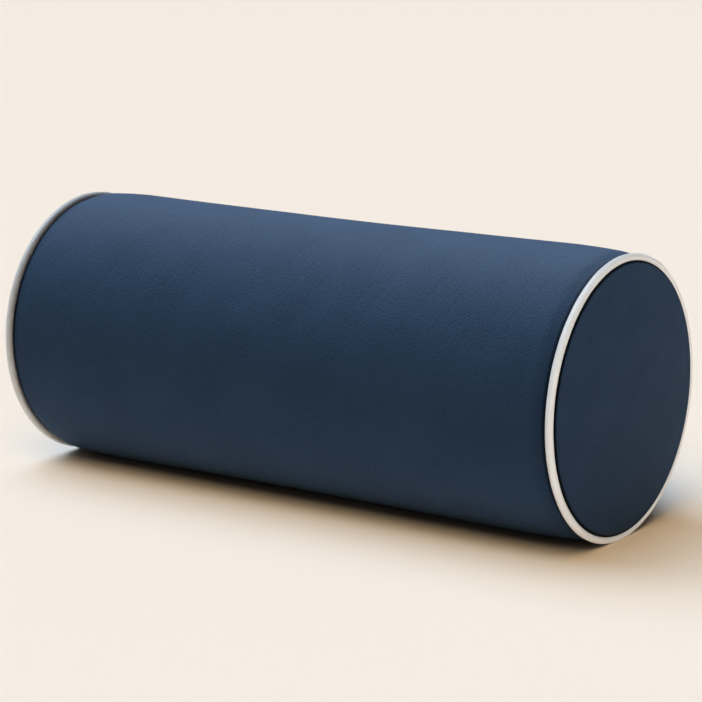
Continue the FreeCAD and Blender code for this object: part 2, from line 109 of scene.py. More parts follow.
def flat_zip(x, across, out):
    """Points beside the zip, with across measured straight instead of round the cover."""
    x, across, out = np.broadcast_arrays(x, across, out)
    y = across * ZIP_ACROSS.y + out * ZIP_OUT.y
    z = across * ZIP_ACROSS.z + out * ZIP_OUT.z + FRAME["axis_height"]
    return np.stack([x, y, z], axis=-1)


# Settings


class BOLSTER_Sizes(bpy.types.PropertyGroup):
    """Sizes of the cover and its trim."""

    body_radius: FloatProperty(
        name="Body radius",
        description="From the axis to the face of the wraparound panel",
        default=FRAME["body_radius"],
        unit="LENGTH",
    )
    shoulder_run: FloatProperty(
        name="Shoulder run",
        description="Length along which the panel turns down towards the seam",
        default=18.0 * MM,
        unit="LENGTH",
    )
    crease_run: FloatProperty(
        name="Crease run",
        description="From the seam's plane to where the panel dives beside the piping",
        default=3.3 * MM,
        unit="LENGTH",
    )
    crease_depth: FloatProperty(
        name="Crease depth",
        description="How far the panel has dropped where it dives beside the piping",
        default=2.9 * MM,
        unit="LENGTH",
    )
    sheet: FloatProperty(
        name="Leatherette thickness",
        description="Thickness of the cover's sheet",
        default=0.9 * MM,
        unit="LENGTH",
    )
    end_crown: FloatProperty(
        name="End crown",
        description="How far the middle of each end panel stands out beyond its edge",
        default=5.5 * MM,
        unit="LENGTH",
    )
    slot_half_width: FloatProperty(
        name="Slot half width",
        description="From the zip's middle to the folded edge of the panel",
        default=6.5 * MM,
        unit="LENGTH",
    )
    slot_half: FloatProperty(
        name="Slot half length",
        description="From the bolster's middle to each end of the zip's slot",
        default=202.0 * MM,
        unit="LENGTH",
    )
    hem_width: FloatProperty(
        name="Hem width",
        description="Width of the panel's edge that is turned under along the zip",
        default=12.0 * MM,
        unit="LENGTH",
    )
    stitch_pitch: FloatProperty(
        name="Stitch pitch",
        description="From one stitch of the top stitching to the next",
        default=4.0 * MM,
        unit="LENGTH",
    )
    stitch_inset: FloatProperty(
        name="Stitch inset",
        description="From the folded edge to the row of stitches",
        default=2.5 * MM,
        unit="LENGTH",
    )
    thread: FloatProperty(
        name="Thread radius",
        description="Radius of the sewing thread",
        default=0.3 * MM,
        unit="LENGTH",
    )
    swell_limit: FloatProperty(
        name="Swell limit",
        description="The furthest that the filling pushes the cover out",
        default=3.0 * MM,
        unit="LENGTH",
    )


class BOLSTER_Colours(bpy.types.PropertyGroup):
    """Colours and grain of the cover and its trim."""

    leatherette: FloatVectorProperty(
        name="Leatherette",
        description="Colour of the wraparound panel and the end panels",
        default=(0.0285, 0.060, 0.118),
        subtype="COLOR",
    )
    piping: FloatVectorProperty(
        name="Piping",
        description="Colour of the piping at both ends",
        default=(0.74, 0.74, 0.73),
        subtype="COLOR",
    )
    zip_tape: FloatVectorProperty(
        name="Zip tape",
        description="Colour of the zip's woven tape, its coil and the thread",
        default=(0.018, 0.03, 0.06),
        subtype="COLOR",
    )
    grain: FloatProperty(
        name="Grain size",
        description="Width of one pebble of the leatherette's grain",
        default=2.0 * MM,
        unit="LENGTH",
    )
    grain_angle: FloatProperty(
        name="Grain angle",
        description="How far the rows of pebbles slant from the bolster's length",
        default=math.radians(-66.0),
        subtype="ANGLE",
    )


class BOLSTER_Stage(bpy.types.PropertyGroup):
    """Floor, light and camera."""

    azimuth: FloatProperty(
        name="Azimuth",
        description="The camera's direction round the bolster, from its plain front",
        default=math.radians(34.91),
        subtype="ANGLE",
    )
    elevation: FloatProperty(
        name="Elevation",
        description="The camera's direction above the floor",
        default=math.radians(12.47),
        subtype="ANGLE",
    )
    distance: FloatProperty(
        name="Distance",
        description="From the camera to the middle of the bolster",
        default=1.967,
        unit="LENGTH",
    )
    pan: FloatProperty(
        name="Pan",
        description="How far the camera aims to the right of the bolster's middle",
        default=math.radians(0.24),
        subtype="ANGLE",
    )
    tilt: FloatProperty(
        name="Tilt",
        description="How far the camera aims above the bolster's middle",
        default=math.radians(0.12),
        subtype="ANGLE",
    )
    lens: FloatProperty(
        name="Lens", description="Focal length in millimetres", default=137.14
    )
    floor: FloatVectorProperty(
        name="Floor",
        description="Colour of the floor",
        default=(0.79, 0.745, 0.688),
        subtype="COLOR",
    )


def sizes():
    return bpy.context.scene.bolster_sizes


def colours():
    return bpy.context.scene.bolster_colours


# Meshes


def mesh_piece(name, points, faces, surface=None, painted_seam_shade=None):
    """A smooth mesh piece. surface holds each point's place on the unrolled sheet, in metres, and
    the last argument says from 0 to 1 how deep in a seam's crease each point lies, which the
    leatherette paints as shade."""
    mesh = bpy.data.meshes.new(name)
    mesh.from_pydata(np.asarray(points).reshape(-1, 3).tolist(), [], faces)
    mesh.polygons.foreach_set("use_smooth", np.ones(len(mesh.polygons), bool))
    if surface is not None:
        corners = np.empty(len(mesh.loops), np.int64)
        mesh.loops.foreach_get("vertex_index", corners)
        layer = mesh.uv_layers.new(name="surface")
        layer.data.foreach_set("uv", np.asarray(surface).reshape(-1, 2)[corners].ravel())
    if painted_seam_shade is not None:
        layer = mesh.attributes.new("painted_seam_shade", "FLOAT", "POINT")
        layer.data.foreach_set("value", np.asarray(painted_seam_shade, float).ravel())
    mesh.update()
    piece = bpy.data.objects.new(name, mesh)
    bpy.context.scene.collection.objects.link(piece)
    return piece


def grid_faces(rows, columns, wrap_rows=False, wrap_columns=False):
    """Quads of a grid of points, numbered row by row."""
    row = np.arange(rows if wrap_rows else rows - 1)[:, None]
    column = np.arange(columns if wrap_columns else columns - 1)[None, :]
    next_row, next_column = (row + 1) % rows, (column + 1) % columns
    quads = [
        row * columns + column,
        row * columns + next_column,
        next_row * columns + next_column,
        next_row * columns + column,
    ]
    return np.stack(np.broadcast_arrays(*quads), axis=-1).reshape(-1, 4).tolist()


def apply_modifiers(piece):
    """Bakes the piece's modifiers into its mesh."""
    bpy.context.view_layer.update()
    graph = bpy.context.evaluated_depsgraph_get()
    done = bpy.data.meshes.new_from_object(piece.evaluated_get(graph))
    piece.modifiers.clear()
    piece.data = done
    return piece


def face_outward(piece):
    """Turns every face of a closed piece outward."""
    mesh = bmesh.new()
    mesh.from_mesh(piece.data)
    bmesh.ops.recalc_face_normals(mesh, faces=mesh.faces)
    mesh.to_mesh(piece.data)
    mesh.free()
    return piece


def thicken(piece, thickness):
    """Gives the sheet its thickness, inward from its face."""
    solid = piece.modifiers.new("thickness", "SOLIDIFY")
    solid.thickness = thickness
    solid.offset = -1.0
    solid.use_quality_normals = True
    return apply_modifiers(piece)


TUBE_TIP = 0.55


def add_tube(points, faces, path, radius, sides):
    """Adds a tube along a path, narrower at both tips, to lists of points and faces."""
    path = np.asarray(path, float)
    along = np.gradient(path, axis=0)
    along /= np.linalg.norm(along, axis=1)[:, None]
    side = np.cross(along, np.array(ZIP_OUT))
    weak = np.linalg.norm(side, axis=1) < 0.1
    side[weak] = np.cross(along[weak], np.array(ZIP_ACROSS))
    side /= np.linalg.norm(side, axis=1)[:, None]
    up = np.cross(side, along)
    turn = np.arange(sides) * 2 * np.pi / sides
    rings = []
    for at, (centre, a, b) in enumerate(zip(path, side, up)):
        width = radius * (TUBE_TIP if at in (0, len(path) - 1) else 1.0)
        ring = np.cos(turn)[:, None] * a + np.sin(turn)[:, None] * b
        rings.append(centre + width * ring)
    start = len(points)
    points += np.concatenate(rings).tolist()
    body = np.array(grid_faces(len(path), sides, wrap_columns=True)) + start
    faces += body.tolist()
    faces.append([start + n for n in range(sides)][::-1])
    last = start + (len(path) - 1) * sides
    faces.append([last + n for n in range(sides)])


def tubes(name, paths, radius, sides):
    """One piece made of a tube along each path."""
    points, faces = [], []
    for path in paths:
        add_tube(points, faces, path, radius, sides)
    return face_outward(mesh_piece(name, points, faces))


def smooth_step(value, low, high):
    """Runs smoothly from 0 at low to 1 at high."""
    t = np.clip((np.asarray(value, float) - low) / (high - low), 0, 1)
    return t * t * (3 - 2 * t)


def settle(points):
    """Presses what would reach below the floor flat against it, with a soft edge."""
    softness = 0.25 * MM
    height = points[..., 2]
    points[..., 2] = (height + np.sqrt(height**2 + softness**2)) / 2
    return points


def finish_piece(piece, material, slot, body, *nodes, padded=None):
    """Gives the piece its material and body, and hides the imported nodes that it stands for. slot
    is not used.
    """
    piece.data.materials.clear()
    piece.data.materials.append(material)
    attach(piece, body)
    if nodes:
        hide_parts(*nodes)
    return piece


# Materials


def new_material(name):
    """A material with only its shader and output: the material, its node tree and the shader."""
    material = bpy.data.materials.new(name)
    material.use_nodes = True
    tree = material.node_tree
    shader = next(n for n in tree.nodes if n.type == "BSDF_PRINCIPLED")
    return material, tree, shader


def add_node(tree, kind, inputs=None, **settings):
    """Adds a node. inputs maps a socket's name or number to a value or to the output feeding it."""
    node = tree.nodes.new(kind)
    for name, setting in settings.items():
        setattr(node, name, setting)
    for socket, source in (inputs or {}).items():
        if isinstance(source, bpy.types.NodeSocket):
            tree.links.new(source, node.inputs[socket])
        else:
            node.inputs[socket].default_value = source
    return node


def surface_point(tree, angle):
    """The place on the unrolled sheet, turned by angle."""
    place = add_node(tree, "ShaderNodeUVMap", uv_map="surface").outputs["UV"]
    inputs = {"Vector": place, "Rotation": (0, 0, -angle)}
    return add_node(tree, "ShaderNodeMapping", inputs).outputs[0]


def object_point(tree):
    """The place in the piece's own coordinates."""
    return add_node(tree, "ShaderNodeTexCoord").outputs["Object"]


def ramp(tree, source, low, high, start=0.0, end=1.0):
    """Maps a value that runs from start to end to one that runs from low to high."""
    inputs = {0: source, 1: start, 2: end, 3: low, 4: high}
    return add_node(tree, "ShaderNodeMapRange", inputs).outputs[0]


MIX_FACTOR, MIX_COLOUR_A, MIX_COLOUR_B, MIX_COLOUR_OUT = 0, 6, 7, 2


def shade_between(tree, source, dark, light):
    """A colour that runs from dark to light as source runs from 0 to 1."""
    inputs = {MIX_FACTOR: source, MIX_COLOUR_A: (*dark, 1), MIX_COLOUR_B: (*light, 1)}
    mix = add_node(tree, "ShaderNodeMix", inputs, data_type="RGBA")
    return mix.outputs[MIX_COLOUR_OUT]


def bump(tree, shader, height, depth, before=None):
    """Raises the surface by height, which runs from 0 to 1, times depth."""
    inputs = {"Height": height, "Distance": depth, "Strength": 1.0}
    if before is not None:
        inputs["Normal"] = before
    node = add_node(tree, "ShaderNodeBump", inputs)
    tree.links.new(node.outputs[0], shader.inputs["Normal"])
    return node.outputs[0]


def scaled(colour, amount):
    """The colour, made darker or lighter by amount."""
    return tuple(channel * amount for channel in colour)


def leatherette(name, colour, grain, angle, depth):
    """Pebble-grained leatherette: rows of low pebbles with darker valleys, a satin face, and
    painted shade by the seams.
    """
    material, tree, shader = new_material(name)
    place = surface_point(tree, angle)
    drift = add_node(tree, "ShaderNodeTexNoise", {"Vector": place, "Scale": 0.15 / grain})
    shifted = add_node(
        tree,
        "ShaderNodeVectorMath",
        {0: drift.outputs["Color"], 1: (0.8 * grain, 0.8 * grain, 0)},
        operation="MULTIPLY",
    )
    moved = add_node(
        tree, "ShaderNodeVectorMath", {0: place, 1: shifted.outputs[0]}, operation="ADD"
    ).outputs[0]
    cells = add_node(
        tree,
        "ShaderNodeTexVoronoi",
        {"Vector": moved, "Scale": 1 / grain, "Randomness": 0.55, "Smoothness": 0.25},
        feature="SMOOTH_F1",
        voronoi_dimensions="2D",
    )
    row = add_node(
        tree,
        "ShaderNodeTexWave",
        {"Vector": moved, "Scale": 0.30 / grain, "Distortion": 0.8, "Detail Scale": 0.6},
        wave_type="BANDS",
        bands_direction="Y",
    ).outputs["Fac"]
    bead = ramp(tree, cells.outputs["Distance"], 1.0, 0.0, 0.08, 0.72)
    pebble = add_node(
        tree, "ShaderNodeMath", {0: bead, 1: ramp(tree, row, 0.35, 1.0)}, operation="MULTIPLY"
    ).outputs[0]
    fine = add_node(
        tree,
        "ShaderNodeTexNoise",
        {"Vector": place, "Scale": 3.2 / grain, "Detail": 3.0, "Roughness": 0.6},
    ).outputs["Fac"]
    patch = add_node(
        tree, "ShaderNodeTexNoise", {"Vector": place, "Scale": 0.05 / grain, "Detail": 2.0}
    ).outputs["Fac"]
    drawn = add_node(tree, "ShaderNodeMapping", {"Vector": place, "Scale": (0.10, 1.0, 1.0)})
    streak = add_node(
        tree,
        "ShaderNodeTexNoise",
        {"Vector": drawn.outputs[0], "Scale": 0.30 / grain, "Detail": 2.0},
    ).outputs["Fac"]
    grain_colour = shade_between(tree, pebble, scaled(colour, 0.80), scaled(colour, 1.10))
    patch_shade = ramp(tree, patch, 0.94, 1.06, 0.3, 0.7)
    # Painted shade: deep in a seam's crease the colour falls to 8% of itself, and a little on the
    # shoulder beside it.
    painted_seam_shade = add_node(tree, "ShaderNodeAttribute", attribute_name="painted_seam_shade").outputs["Fac"]
    shade = add_node(
        tree,
        "ShaderNodeMath",
        {0: patch_shade, 1: ramp(tree, painted_seam_shade, 1.0, 0.08)},
        operation="MULTIPLY",
    ).outputs[0]
    tinted = add_node(
        tree,
        "ShaderNodeVectorMath",
        {0: grain_colour, "Scale": shade},
        operation="SCALE",
    )
    tree.links.new(tinted.outputs[0], shader.inputs["Base Color"])
    tree.links.new(ramp(tree, pebble, 0.64, 0.54), shader.inputs["Roughness"])
    shader.inputs["Specular IOR Level"].default_value = 0.04
    lines = bump(tree, shader, ramp(tree, streak, 0.0, 1.0, 0.35, 0.5), depth * 0.6)
    first = bump(tree, shader, pebble, depth, before=lines)
    bump(tree, shader, fine, depth * 0.28, before=first)
    return material


def piping_material(colour):
    """Smooth off-white leatherette: almost no grain, a soft sheen, and slightly uneven colour."""
    material, tree, shader = new_material("piping_white")
    place = object_point(tree)
    soft = add_node(
        tree, "ShaderNodeTexNoise", {"Vector": place, "Scale": 38.0, "Detail": 3.0}
    ).outputs["Fac"]
    fine = add_node(
        tree, "ShaderNodeTexNoise", {"Vector": place, "Scale": 900.0, "Detail": 2.0}
    ).outputs["Fac"]
    shade = shade_between(
        tree, ramp(tree, soft, 0.0, 1.0, 0.35, 0.65), scaled(colour, 0.965), colour
    )
    tree.links.new(shade, shader.inputs["Base Color"])
    tree.links.new(ramp(tree, fine, 0.34, 0.44), shader.inputs["Roughness"])
    shader.inputs["Specular IOR Level"].default_value = 0.45
    shader.inputs["Sheen Weight"].default_value = 0.9
    shader.inputs["Sheen Roughness"].default_value = 0.35
    bump(tree, shader, fine, 0.03 * MM)
    return material


def woven(name, colour, thread, depth, light=1.6):
    """Woven or twisted yarn: fine crossing ribs of the given thread width."""
    material, tree, shader = new_material(name)
    place = object_point(tree)
    bands = [
        add_node(
            tree,
            "ShaderNodeTexWave",
            {"Vector": place, "Scale": 1 / (thread * 2 * math.pi) * 2, "Distortion": 0.6},
            wave_type="BANDS",
            bands_direction=direction,
        ).outputs["Fac"]
        for direction in ("X", "DIAGONAL")
    ]
    weave = add_node(
        tree, "ShaderNodeMath", {0: bands[0], 1: bands[1]}, operation="MULTIPLY"
    ).outputs[0]
    shade = shade_between(tree, weave, scaled(colour, 0.7), scaled(colour, light))
    tree.links.new(shade, shader.inputs["Base Color"])
    tree.links.new(ramp(tree, weave, 0.9, 0.68), shader.inputs["Roughness"])
    shader.inputs["Sheen Weight"].default_value = 0.15
    bump(tree, shader, weave, depth)
    return material


def fibrous(name, colour, cell, depth, roughness=0.9):
    """Foam or wadding: open cells or matted fibre of the given size."""
    material, tree, shader = new_material(name)
    place = object_point(tree)
    cells = add_node(
        tree, "ShaderNodeTexVoronoi", {"Vector": place, "Scale": 1 / cell}
    ).outputs["Distance"]
    cloud = add_node(
        tree, "ShaderNodeTexNoise", {"Vector": place, "Scale": 0.2 / cell, "Detail": 4.0}
    ).outputs["Fac"]
    shade = shade_between(tree, cloud, scaled(colour, 0.88), colour)
    tree.links.new(shade, shader.inputs["Base Color"])
    tree.links.new(ramp(tree, cells, roughness - 0.1, roughness), shader.inputs["Roughness"])
    bump(tree, shader, cells, depth)
    return material


def metal(name, colour, roughness, metallic):
    """Cast or pressed metal with faint tumbling marks."""
    material, tree, shader = new_material(name)
    place = object_point(tree)
    marks = add_node(
        tree, "ShaderNodeTexNoise", {"Vector": place, "Scale": 1400.0, "Detail": 4.0}
    ).outputs["Fac"]
    shade = shade_between(tree, marks, scaled(colour, 0.85), scaled(colour, 1.15))
    tree.links.new(shade, shader.inputs["Base Color"])
    tree.links.new(ramp(tree, marks, roughness - 0.08, roughness + 0.1), shader.inputs["Roughness"])
    shader.inputs["Metallic"].default_value = metallic
    bump(tree, shader, marks, 0.02 * MM)
    return material


def nylon(name, colour):
    """Moulded nylon wire with drawing lines."""
    material, tree, shader = new_material(name)
    place = object_point(tree)
    lines = add_node(
        tree, "ShaderNodeTexNoise", {"Vector": place, "Scale": 2500.0, "Detail": 2.0}
    ).outputs["Fac"]
    shade = shade_between(tree, lines, scaled(colour, 0.85), scaled(colour, 1.3))
    tree.links.new(shade, shader.inputs["Base Color"])
    tree.links.new(ramp(tree, lines, 0.28, 0.42), shader.inputs["Roughness"])
    bump(tree, shader, lines, 0.01 * MM)
    return material


# Cover


def profile_rows():
    """The panel's rows from the middle to the right seam: how far along, how far out."""
    s = sizes()
    radius, seam = s.body_radius, FRAME["seam_half"]
    step = s.stitch_pitch / 3
    slot_rows = np.arange(step / 2, s.slot_half - 2.2 * MM, step)
    end_rows = s.slot_half + np.arange(-2.0, 2.1, 0.5) * MM
    shoulder_start = seam - s.shoulder_run
    closed_rows = np.linspace(end_rows[-1] + 1.5 * MM, shoulder_start, 8)
    flat = np.concatenate([slot_rows, end_rows, closed_rows])
    run, drop = s.shoulder_run - s.crease_run, s.crease_depth
    turn_radius = (run**2 + drop**2) / (2 * drop)
    angles = np.linspace(0, math.asin(run / turn_radius), 10)[1:]
    shoulder_x = shoulder_start + turn_radius * np.sin(angles)
    shoulder_out = radius - turn_radius * (1 - np.cos(angles))
    root_x = seam - FRAME["welt_tube"] * 0.42
    dive_x = np.array([0.35, 0.7, 1.0]) * (root_x - shoulder_x[-1]) + shoulder_x[-1]
    dive_out = shoulder_out[-1] - np.array([0.7, 1.8, 3.2]) * MM
    x = np.concatenate([flat, shoulder_x, dive_x, [root_x]])
    root_out = dive_out[-1] - 2 * MM
    out = np.concatenate([np.full(len(flat), radius), shoulder_out, dive_out, [root_out]])
    return np.concatenate([-x[::-1], x]), np.concatenate([out[::-1], out])


def edge_at(x):
    """From the zip's middle to the panel's folded edge: the slot, or the closed seam past it."""
    s = sizes()
    closed = smooth_step(np.abs(x), s.slot_half - 1.2 * MM, s.slot_half + 1.2 * MM)
    return s.slot_half_width * (1 - closed) + 0.12 * MM * closed


FOLD_RADIUS = 1.0 * MM
FOLD_STEPS = 7


def half_sheet(x):
    """Arc and depth of the sheet's columns, for each row, from the turned edge to the far side."""
    s = sizes()
    edge = edge_at(x)[:, None]
    hem = np.linspace(s.hem_width, FOLD_RADIUS * 1.6, 5)
    turn = np.linspace(-math.pi / 2, math.pi / 2, FOLD_STEPS)
    hem_depth = np.full(len(hem), -2 * FOLD_RADIUS)
    fold_arc = FOLD_RADIUS * (1 - np.cos(turn))
    fold_depth = FOLD_RADIUS * (np.sin(turn) - 1)
    steps = np.array([0.5, 1.0, 1.4, 1.8, 2.2, 2.7, 3.4, 4.4, 5.6, 7.0, 8.6, 10.4])
    near = FOLD_RADIUS + steps * MM
    far_start = s.slot_half_width + near[-1]
    half_way = math.pi * s.body_radius
    far_edges = far_start + (half_way - far_start) * np.linspace(0, 1, 44)[1:] ** 1.12
    inner_arc = np.concatenate([hem, fold_arc, near]) + edge
    far_arc = np.broadcast_to(far_edges, (len(x), len(far_edges)))
    arc = np.concatenate([inner_arc, far_arc], axis=1)
    depth = np.concatenate([hem_depth, fold_depth, np.zeros(len(near) + len(far_edges))])
    return arc, depth


def sewn_relief(x, arc):
    """How the sewing shapes the sheet near the zip, out from its plain face."""
    s = sizes()
    inside = 1 - smooth_step(np.abs(x), s.slot_half - 1 * MM, s.slot_half + 2 * MM)
    side = np.abs(arc)
    row = s.slot_half_width + s.stitch_inset
    raised = 0.4 * MM * (1 - smooth_step(side, 17 * MM, 23 * MM)) * inside
    groove = np.exp(-(((side - row) / (0.75 * MM)) ** 2))
    between = 0.5 + 0.5 * np.cos(2 * math.pi * x / s.stitch_pitch)
    pull = (0.22 + 0.26 * between) * MM * groove * inside
    beside = np.exp(-(((side - row - 2.2 * MM) / (1.6 * MM)) ** 2))
    pillow = 0.16 * MM * between * beside * inside
    closing = 0.45 * MM * np.exp(-((side / (5 * MM)) ** 2)) * (1 - inside)
    gather = np.cos(2 * math.pi * x / (6.5 * MM))
    pucker = 0.16 * MM * gather * np.exp(-((side / (9 * MM)) ** 2))
    return raised - pull + pillow - closing + pucker * (1 - inside)


def gentle_waves(x, arc):
    """Slight unevenness of a hand-filled cover, from waves that run round it and along it."""
    turn = arc / sizes().body_radius
    # Height in millimetres, waves round the cover, waves along it, and where each starts.
    waves = [
        (0.060, 3, 27.0, 0.4),
        (0.050, 5, 41.0, 2.1),
        (0.040, 8, 63.0, 4.0),
        (0.030, 13, 90.0, 1.3),
    ]
    total = 0
    for height, count, along, start in waves:
        total = total + height * MM * np.sin(count * turn + start) * np.sin(along * x + 2 * start)
    return total


def seam_puckers(x, arc):
    """Fine gathers where the panel is drawn into the piped seam."""
    distance = FRAME["seam_half"] - np.abs(x)
    near = np.exp(-(((distance - 7 * MM) / (4.5 * MM)) ** 2))
    turn = arc / sizes().body_radius
    gather = np.sin(47 * turn) + 0.7 * np.sin(71 * turn + 1.1) + 0.5 * np.sin(113 * turn + 2.3)
    return 0.045 * MM * near * gather


class Swell:
    """How far the filling pushes out the cover, from a cloth simulation of the sewn cover.
    The piped seams and the stitched edges of the zip are held."""

    ROUND = 112
    ALONG = 92
    RINGS = 14

    def __init__(self):
        s = sizes()
        self.limit = s.swell_limit
        end = FRAME["seam_half"] - 2 * MM
        self.x = np.linspace(-end, end, self.ALONG)
        self.arc = np.linspace(0, 2 * math.pi * s.body_radius, self.ROUND, endpoint=False)
        self.ring = np.linspace(0.06, 1, self.RINGS)
        self.simulate()

    def simulate(self):
        s = sizes()
        seam_radius = s.body_radius - s.crease_depth
        body = around(self.x[:, None], self.arc[None, :], s.body_radius)
        body[[0, -1]] = around(self.x[[0, -1], None], self.arc[None, :], seam_radius)
        caps = []
        for side in (-1, 1):
            x = side * FRAME["seam_half"]
            caps.append(around(x, self.arc[None, :], seam_radius * self.ring[:-1, None]))
        grid = np.concatenate([caps[0], body, caps[1][::-1]])
        rows = len(grid)
        count = self.ROUND
        faces = grid_faces(rows, count, wrap_columns=True)
        faces.append(list(range(count))[::-1])
        faces.append([(rows - 1) * count + n for n in range(count)])
        form = face_outward(mesh_piece("swell_form", grid, faces))
        seams = [self.RINGS - 1, self.RINGS - 1 + self.ALONG - 1]
        held = [row * count + n for row in seams for n in range(count)]
        zip_rows = [self.RINGS - 1 + n for n in np.flatnonzero(np.abs(self.x) < s.slot_half)]
        stitched = s.slot_half_width + s.stitch_inset
        near = np.minimum(self.arc, self.arc[-1] - self.arc) < stitched
        held += [row * count + n for row in zip_rows for n in np.flatnonzero(near)]
        moved = run_cloth(form, [int(n) for n in held]) - grid.reshape(-1, 3)
        moved = moved.reshape(rows, count, 3)
        first, last = self.RINGS - 1, self.RINGS - 1 + self.ALONG
        outward = around(0.0, self.arc, 1.0) - around(0.0, self.arc, 0.0)
        pushed = np.einsum("rnk,nk->rn", moved[first:last], outward)
        # A share of the median, under a soft cap, so that a few high spots don't lower the rest.
        share = pushed / np.median(pushed)
        self.body = share / (1 + np.abs(share) ** 3) ** (1 / 3)
        self.ends = np.stack([-moved[:first, :, 0], moved[last:, :, 0][::-1]])
        self.ends = np.concatenate([self.ends, np.zeros((2, 1, count))], axis=1)
        bpy.data.objects.remove(form)

    def on_body(self, x, arc):
        """Swell at points of the wraparound panel."""
        return self.limit * self.sample(self.body, self.x, x, arc)

    def on_end(self, side, ring, arc):
        """Swell of an end panel as a share of its crown, at shares of its radius."""
        field = self.ends[0 if side < 0 else 1]
        top = max(field.max(), 1e-6)
        return self.sample(field / top, self.ring, ring, arc)

    def sample(self, field, rows, row, arc):
        """Reads a field between its rows and, round the bolster, between its columns."""
        row, arc = np.broadcast_arrays(row, arc)
        at = np.clip(np.interp(row, rows, np.arange(len(rows))), 0, len(rows) - 1.001)
        low = at.astype(int)
        part = at - low
        turn = (arc / (2 * math.pi * sizes().body_radius) % 1.0) * self.ROUND
        column = np.floor(turn).astype(int)
        share = turn - column
        left, right = column % self.ROUND, (column + 1) % self.ROUND
        near = field[low, left] * (1 - share) + field[low, right] * share
        far = field[low + 1, left] * (1 - share) + field[low + 1, right] * share
        return near * (1 - part) + far * part


def run_cloth(form, held, pressure=4.0, frames=20):
    """Blows the form up for a few frames as cloth, and returns where its points end."""
    group = form.vertex_groups.new(name="held")
    group.add(held, 1.0, "REPLACE")
    cloth = form.modifiers.new("cloth", "CLOTH")
    cloth.settings.quality = 8
    cloth.settings.mass = 0.4
    cloth.settings.tension_stiffness = 60
    cloth.settings.compression_stiffness = 60
    cloth.settings.shear_stiffness = 25
    cloth.settings.bending_stiffness = 4
    cloth.settings.vertex_group_mass = "held"
    cloth.settings.use_pressure = True
    cloth.settings.uniform_pressure_force = pressure
    cloth.settings.effector_weights.gravity = 0
    cloth.collision_settings.use_collision = False
    cloth.point_cache.frame_start = 1
    cloth.point_cache.frame_end = frames
    scene = bpy.context.scene
    for at in range(1, frames + 1):
        scene.frame_set(at)
    graph = bpy.context.evaluated_depsgraph_get()
    done = form.evaluated_get(graph).to_mesh()
    points = np.empty(len(done.vertices) * 3)
    done.vertices.foreach_get("co", points)
    scene.frame_set(1)
    return points.reshape(-1, 3)


SWELL = {}


def swell():
    """The cover's swell, simulated once."""
    if "cover" not in SWELL:
        SWELL["cover"] = Swell()
    return SWELL["cover"]


def filled_out(x, arc):
    """How far the filling pushes out the panel: less towards its seams, and nothing beside the zip,
    which the tapes hold flat."""
    s = sizes()
    full = 2 * math.pi * s.body_radius
    side = np.abs((arc + full / 2) % full - full / 2)
    past_zip = smooth_step(np.abs(x), s.slot_half + 4 * MM, s.slot_half + 24 * MM)
    free = np.maximum(past_zip, smooth_step(side, 12 * MM, 45 * MM))
    taper = smooth_step(FRAME["seam_half"] - np.abs(x), -10 * MM, 50 * MM)
    return swell().on_body(x, arc % full) * free * taper


def wrap_painted_shade(x):
    """How deep in a seam's crease the panel lies, painted as shade: a faint painted shade on its
    shoulder, then full painted shade where it dives.
    """
    inset = FRAME["seam_half"] - np.abs(x)
    shoulder = 0.22 * (1 - smooth_step(inset, 4 * MM, 17 * MM))
    return np.maximum(shoulder, 1 - smooth_step(inset, 4.5 * MM, 5.8 * MM))


def build_wrap():
    """The wraparound panel as one sheet, with its long edges turned under along the zip."""
    s = sizes()
    x, out = profile_rows()
    arc, depth = half_sheet(x)
    full = 2 * math.pi * s.body_radius
    arc = np.concatenate([arc, full - arc[:, -2::-1]], axis=1)
    depth = np.concatenate([depth, depth[-2::-1]])
    x, out = x[:, None], out[:, None]
    wrapped = np.where(arc > full / 2, arc - full, arc)
    turned = depth < -1.2 * FOLD_RADIUS
    lift = sewn_relief(x, wrapped) + gentle_waves(x, wrapped) + seam_puckers(x, wrapped)
    pushed = filled_out(x, arc) * np.where(turned, 0, 1)
    points = settle(around(x, arc, out + depth + lift + pushed))
    along = np.concatenate([[0], np.cumsum(np.hypot(np.diff(x[:, 0]), np.diff(out[:, 0])))])
    surface = np.stack(np.broadcast_arrays(along[:, None], arc + np.minimum(depth, 0)), axis=-1)
    # Painted shade by the seams, carried to the leatherette's colour.
    painted_seam_shade = np.broadcast_to(wrap_painted_shade(x), arc.shape)
    faces = grid_faces(*arc.shape)
    return mesh_piece("wraparound_panel", points, faces, surface, painted_seam_shade)


WRAP_GRAIN_DEPTH = 0.20 * MM
END_GRAIN_DEPTH = 0.10 * MM
END_GRAIN_ANGLE = 0.3


class BOLSTER_OT_add_cover(bpy.types.Operator):
    """Add the wraparound panel of leatherette"""

    bl_idname = "bolster.add_cover"
    bl_label = "Wraparound panel"

    def execute(self, context):
        c = colours()
        panel = build_wrap()
        face = panel.data.polygons[len(panel.data.polygons) // 2]
        centre = Vector((0, 0, FRAME["axis_height"]))
        if (face.center - centre).dot(face.normal) < 0:
            panel.data.flip_normals()
        thicken(panel, sizes().sheet)
        material = leatherette(
            "leatherette_wrap", c.leatherette, c.grain, c.grain_angle, WRAP_GRAIN_DEPTH
        )
        finish_piece(panel, material, "navy_leatherette", "cover", "body_panel", padded=0.95)
        return {"FINISHED"}


